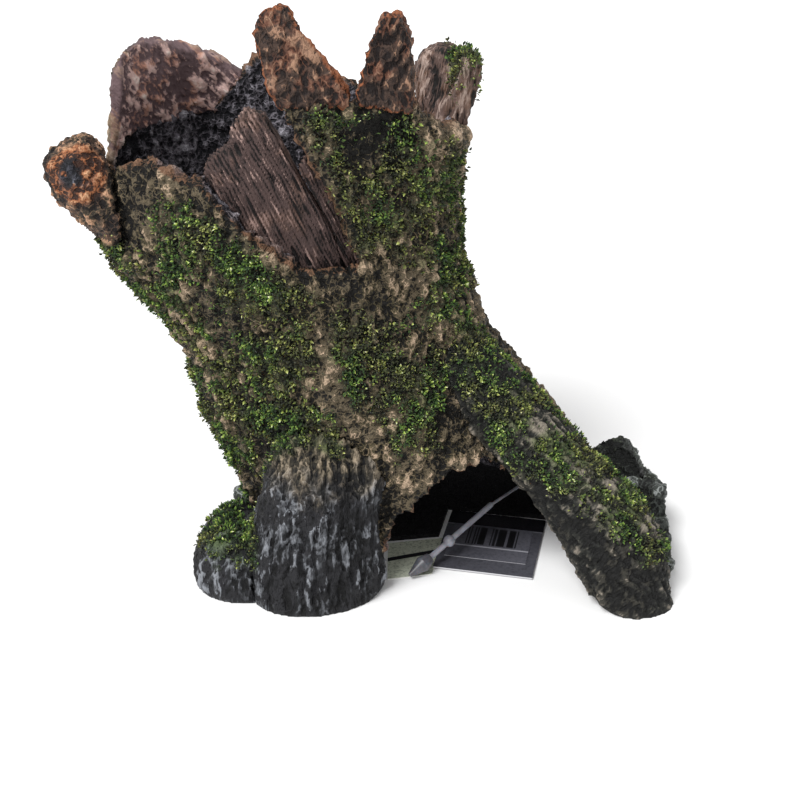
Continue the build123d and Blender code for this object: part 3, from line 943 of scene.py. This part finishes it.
def finishes():
    """Make every painted finish once and give them by name."""
    return {
        "bark": painted_resin(
            "Painted bark resin", "#0d0b08", "#655a47", "#c0a78d", "#504832", 0.5, vein_mm=2.3,
            crest_at=0.9, inside="#77727a", moss="#1c2512", edge="#7c5741",
        ),
        "torn": painted_resin(
            "Torn wood resin", "#1d1412", "#483830", "#a17d66", "#6b4535", 0.5, pit_share=0.6,
            moss="#1f2f14", edge="#a05f3c", stretch=(1.0, 1.0, 0.6),
        ),
        "stub": painted_resin(
            "Broken branch resin", "#171110", "#5a463a", "#c09678", "#4d4436", 0.6,
            moss="#1f2f14", broken=True,
        ),
        "panel": painted_resin(
            "Grained wood resin", "#6e5a5c", "#e0bdb5", "#f2ddd3", "#cf9984", 0.5,
            moss="#1f2f14", edge="#7f6a55", outside="#544a3a", stretch=(1.0, 1.0, 0.22),
            lean=radians(46), vein_mm=4.0, vein_share=0.3, pit_share=0.3,
        ),
        "shard": painted_resin(
            "Ribbed wood resin", "#191514", "#65514a", "#b09a8f", "#6b5042", 0.5,
            moss="#1f2f14", stretch=(1.0, 1.0, 0.25), lean=radians(-8),
            vein_share=0.6, pit_share=0.4,
        ),
        "heart": painted_resin(
            "Heartwood resin", "#120d0d", "#4d3d3a", "#b0938a", "#59443c", 0.4,
            stretch=(1.0, 1.0, 0.12), lean=radians(25), vein_mm=2.0, vein_share=0.3,
        ),
        "charcoal": painted_resin(
            "Charcoal resin", "#08080a", "#232326", "#83868c", "#1d1e21", 0.5, moss="#1f2f14",
            stretch=(1.0, 1.0, 0.22), vein_mm=2.8, vein_share=0.7, crest_at=0.96, pit_share=0.6,
            upper="#3c372b",
        ),
        "root": painted_resin(
            "Painted root resin", "#0d0d0c", "#35332d", "#8d8478", "#2b2c28", 0.6,
            moss="#1c2512", stretch=(1.0, 1.0, 0.3), lean=radians(-40), vein_share=0.5,
        ),
        "rock": painted_resin(
            "Rock resin", "#121413", "#3b3f3c", "#8d9290", "#3a4033", 0.5, moss="#1f2f14",
        ),
    }


# ---------------------------------------------------------------- operators

FINISH = {}
TREES = {}
GROUND = []


def paint(node_name, finish):
    """Give a piece of the frame a better finish on its object's own slots."""
    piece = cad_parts[node_name]
    for slot in piece.material_slots:
        slot.link = "OBJECT"
        slot.material = finish


def cast(node_name, slot, finish, voxel, **values):
    """Give one casting its relief and its paint, in place of the smooth solid."""
    piece = merged_copy(node_name, node_name + "_cast")
    cells = piece.modifiers.new("Cells", "REMESH")
    cells.mode = "VOXEL"
    cells.voxel_size = voxel
    bake(piece)
    inputs = {
        "Moss Mats": TREES["mats"],
        "Tie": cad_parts["tag_tie"],
        "Material": FINISH[finish],
    }
    inputs.update(values)
    run_tree(piece, TREES["relief"], inputs)
    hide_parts(node_name)
    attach(piece, ORNAMENT)
    GROUND.append(piece)
    return piece


class CAVE_OT_stage(bpy.types.Operator):
    """Lay the floor, set the light and place the camera"""

    bl_idname = "cave.stage"
    bl_label = "Stage"

    def execute(self, context):
        settings = context.scene.cave_stage
        scene = context.scene
        scene.view_settings.view_transform = "Standard"
        mesh = bpy.data.meshes.new("floor")
        reach = FLOOR_REACH
        mesh.from_pydata(
            [(-reach, -reach, 0), (reach, -reach, 0), (reach, reach, 0), (-reach, reach, 0)],
            [],
            [(0, 1, 2, 3)],
        )
        floor = new_object("floor", mesh)
        paper, _, shader, _ = new_material("Matt paper floor", 0.9, 0.1)
        shader.inputs["Base Color"].default_value = tuple(settings.floor)
        mesh.materials.append(paper)

        world = bpy.data.worlds.new("Soft room")
        world.use_nodes = True
        world.node_tree.nodes["Background"].inputs[0].default_value = linear("#ffffff")
        world.node_tree.nodes["Background"].inputs[1].default_value = settings.fill
        scene.world = world
        key = bpy.data.lights.new("key", "SUN")
        key.energy = settings.key
        key.angle = KEY_SPREAD
        lamp = new_object("key", key)
        lamp.rotation_euler = Vector(KEY_DIRECTION).to_track_quat("-Z", "Y").to_euler()

        camera = bpy.data.cameras.new("camera")
        camera.lens = settings.lens
        camera.sensor_width = SENSOR
        camera.clip_start = 0.01
        view = new_object("camera", camera)
        view.location = CAMERA_PLACE
        target = Vector(CAMERA_TARGET)
        view.rotation_euler = (target - view.location).to_track_quat("-Z", "Y").to_euler()
        scene.camera = view
        return {"FINISHED"}


class CAVE_OT_prepare(bpy.types.Operator):
    """Make the finishes, the trees and the joined moss mats that the pieces share"""

    bl_idname = "cave.prepare"
    bl_label = "Finishes and trees"

    def execute(self, context):
        FINISH.update(finishes())
        TREES["relief"] = relief_tree()
        work = bmesh.new()
        for name in MOSS_NODES:
            work.from_mesh(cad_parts[name].data)
        mesh = bpy.data.meshes.new("mats")
        work.to_mesh(mesh)
        work.free()
        TREES["mats"] = new_object("mats", mesh)
        return {"FINISHED"}


class CAVE_OT_trunk(bpy.types.Operator):
    """Model the hollow trunk's bark"""

    bl_idname = "cave.trunk"
    bl_label = "Trunk"

    def execute(self, context):
        s = context.scene.cave_castings
        cast(
            "trunk_shell", "bark_resin", "bark", s.trunk_voxel,
            **{"Spacing": s.ridge_spacing, "Depth": s.ridge_depth, "Stretch": 1.8,
               "Lean": s.lean, "Lump Size": s.lump_size, "Lump Depth": s.lump_depth,
               "Rim Swell": s.rim_swell, "Warp": 7 * MM, "Seed": 1.0},
        )
        return {"FINISHED"}


class CAVE_OT_crown(bpy.types.Operator):
    """Model the torn crown and the branch stub"""

    bl_idname = "cave.crown"
    bl_label = "Torn crown"

    def execute(self, context):
        s = context.scene.cave_castings
        rows = (
            ("crown_back_shard", "panel", 40, 6.0, 1.7, 7.0, 0.3),
            ("crown_mid_spike", "torn", 25, 5.0, 1.8, 2.5, 0.0),
            ("crown_right_spike", "torn", -6, 5.0, 1.8, 2.0, 0.0),
            ("crown_right_shard", "shard", -8, 4.0, 0.9, 6.0, 0.8),
            ("branch_stub", "stub", 30, 5.0, 1.4, 1.2, 0.0),
        )
        for seed, (name, finish, lean, spacing, depth, stretch, groove) in enumerate(rows):
            lump = 0.25 if finish in ("panel", "shard") else 0.7
            cast(
                name, "torn_wood_resin", finish, s.small_voxel,
                **{"Spacing": spacing * MM, "Depth": depth * MM, "Stretch": stretch,
                   "Lean": radians(lean), "Lump Size": 3.2 * MM, "Lump Depth": lump * MM,
                   "Rim Swell": s.rim_swell, "Warp": 3 * MM, "Groove Spacing": 2.2 * MM,
                   "Groove Depth": groove * MM, "Seed": 10.0 + seed},
            )
        return {"FINISHED"}


class CAVE_OT_heartwood(bpy.types.Operator):
    """Model the ribbed heartwood in the torn front"""

    bl_idname = "cave.heartwood"
    bl_label = "Heartwood"

    def execute(self, context):
        for name, seed in (("heartwood_slab", 21.0), ("heartwood_sliver", 22.0)):
            cast(
                name, "heartwood_resin", "heart", HEARTWOOD_VOXEL,
                **{"Spacing": 3 * MM, "Depth": 0.6 * MM, "Stretch": 14.0,
                   "Lean": radians(25), "Lump Size": 8 * MM, "Lump Depth": 0.3 * MM,
                   "Warp": 2.6 * MM, "Groove Spacing": 1.5 * MM, "Groove Depth": 0.8 * MM,
                   "Seed": seed},
            )
        return {"FINISHED"}


class CAVE_OT_feet(bpy.types.Operator):
    """Model the fluted feet and the long root"""

    bl_idname = "cave.feet"
    bl_label = "Feet and root"

    def execute(self, context):
        s = context.scene.cave_castings
        cast(
            "left_foot", "charcoal_resin", "charcoal", s.small_voxel,
            **{"Spacing": 3.6 * MM, "Depth": 2.0 * MM, "Stretch": 9.0, "Lean": radians(-6),
               "Lump Size": 3 * MM, "Lump Depth": 0.4 * MM, "Warp": 9 * MM,
               "Groove Spacing": 5.2 * MM, "Groove Depth": 0.9 * MM, "Seed": 31.0},
        )
        cast(
            "left_toe", "charcoal_resin", "charcoal", s.small_voxel,
            **{"Spacing": 7 * MM, "Depth": 1.6 * MM, "Stretch": 3.0, "Lean": 0.0,
               "Lump Size": 2.5 * MM, "Lump Depth": 0.6 * MM, "Warp": 3 * MM, "Seed": 32.0},
        )
        cast(
            "right_root", "bark_resin", "root", s.small_voxel,
            **{"Spacing": 4.5 * MM, "Depth": 1.8 * MM, "Stretch": 4.0, "Lean": radians(40),
               "Lump Size": 3.5 * MM, "Lump Depth": 0.8 * MM, "Warp": 4 * MM, "Seed": 33.0},
        )
        return {"FINISHED"}


class CAVE_OT_rocks(bpy.types.Operator):
    """Model the rocks round the base"""

    bl_idname = "cave.rocks"
    bl_label = "Rocks"

    def execute(self, context):
        s = context.scene.cave_castings
        for seed, name in enumerate(("rock_lower", "rock_middle", "rock_upper", "rock_left")):
            cast(
                name, "rock_resin", "rock", s.small_voxel,
                **{"Spacing": 11 * MM, "Depth": 2.4 * MM, "Stretch": 1.0, "Lean": radians(20),
                   "Lump Size": 7 * MM, "Lump Depth": 1.2 * MM, "Warp": 2 * MM,
                   "Seed": 41.0 + seed},
            )
        return {"FINISHED"}


class CAVE_OT_moss(bpy.types.Operator):
    """Grow the moss over the castings"""

    bl_idname = "cave.moss"
    bl_label = "Moss"

    def execute(self, context):
        s = context.scene.cave_moss
        tree = moss_tree()
        finish = moss_finish(s)
        leaf = bpy.data.meshes.new("leaf")
        corners = [
            (0, 0, 0), (0.28, 0.02, 0.45), (0.02, 0.12, 0.5),
            (-0.28, 0.02, 0.45), (0.0, -0.07, 0.5), (0.05, 0.22, 1.0),
        ]
        faces = [(0, 2, 1), (0, 3, 2), (0, 4, 3), (0, 1, 4),
                 (5, 1, 2), (5, 2, 3), (5, 3, 4), (5, 4, 1)]
        leaf.from_pydata(corners, [], faces)
        # each corner's height up the leaf, by which the leaf is painted from shade at its base to a
        # highlight at its tip
        height = leaf.attributes.new("tip", "FLOAT", "POINT")
        height.data.foreach_set("value", [corner[2] for corner in corners])
        blade = new_object("leaf", leaf)
        work = bmesh.new()
        for piece in GROUND:
            work.from_mesh(piece.data)
        joined = bpy.data.meshes.new("ground")
        work.to_mesh(joined)
        work.free()
        for seed, name in enumerate(MOSS_NODES):
            piece = new_object(name + "_leaves", joined.copy())
            run_tree(
                piece,
                tree,
                {"Mat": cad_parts[name], "Leaf": blade, "Length": s.leaf_length,
                 "Density": s.density / MM**2, "Reach": s.reach, "Ragged": s.ragged,
                 "Seed": seed, "Material": finish},
            )
            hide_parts(name)
            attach(piece, ORNAMENT)
        bpy.data.meshes.remove(joined)
        for spare in (blade, TREES["mats"]):
            bpy.data.objects.remove(spare)
        return {"FINISHED"}


class CAVE_OT_tag(bpy.types.Operator):
    """Finish the swing tag and its nylon tie"""

    bl_idname = "cave.tag"
    bl_label = "Swing tag"

    def execute(self, context):
        paint("tag_tie", nylon_finish("Moulded nylon", "#77777f", "#9a9aa4"))
        paint("tag_lock", nylon_finish("Smoked nylon", "#3d3d42", "#5e5e65"))
        paint("tag_card", card_finish())
        paint("tag_label", label_finish())
        paint("tag_leaf", leaf_finish())
        # the cave's floor plate is painted charcoal as a dark sheet in the hollow, as painted shade
        paint("cave_floor", FINISH["charcoal"])
        return {"FINISHED"}


class CAVE_PT_panel(bpy.types.Panel):
    """The pieces, in the order they are built"""

    bl_idname = "CAVE_PT_panel"
    bl_label = "Resin Cave Ornament"
    bl_space_type = "VIEW_3D"
    bl_region_type = "UI"
    bl_category = "Cave"

    def draw(self, context):
        for operator in OPERATORS:
            self.layout.operator(operator.bl_idname)


OPERATORS = (
    CAVE_OT_stage,
    CAVE_OT_prepare,
    CAVE_OT_trunk,
    CAVE_OT_crown,
    CAVE_OT_heartwood,
    CAVE_OT_feet,
    CAVE_OT_rocks,
    CAVE_OT_moss,
    CAVE_OT_tag,
)
GROUPS = {"cave_castings": CaveCastings, "cave_moss": CaveMoss, "cave_stage": CaveStage}


def register():
    """Make the settings, the operators and the panel known to Blender."""
    for name, group in GROUPS.items():
        bpy.utils.register_class(group)
        setattr(bpy.types.Scene, name, bpy.props.PointerProperty(type=group))
    for operator in OPERATORS:
        bpy.utils.register_class(operator)
    bpy.utils.register_class(CAVE_PT_panel)


def unregister():
    """Take them away again."""
    bpy.utils.unregister_class(CAVE_PT_panel)
    for operator in reversed(OPERATORS):
        bpy.utils.unregister_class(operator)
    for name, group in GROUPS.items():
        delattr(bpy.types.Scene, name)
        bpy.utils.unregister_class(group)


def main():
    """Build everything in order."""
    register()
    bpy.ops.cave.stage()
    bpy.ops.cave.prepare()
    bpy.ops.cave.trunk()
    bpy.ops.cave.crown()
    bpy.ops.cave.heartwood()
    bpy.ops.cave.feet()
    bpy.ops.cave.rocks()
    bpy.ops.cave.moss()
    bpy.ops.cave.tag()


if __name__ == "__main__":
    main()
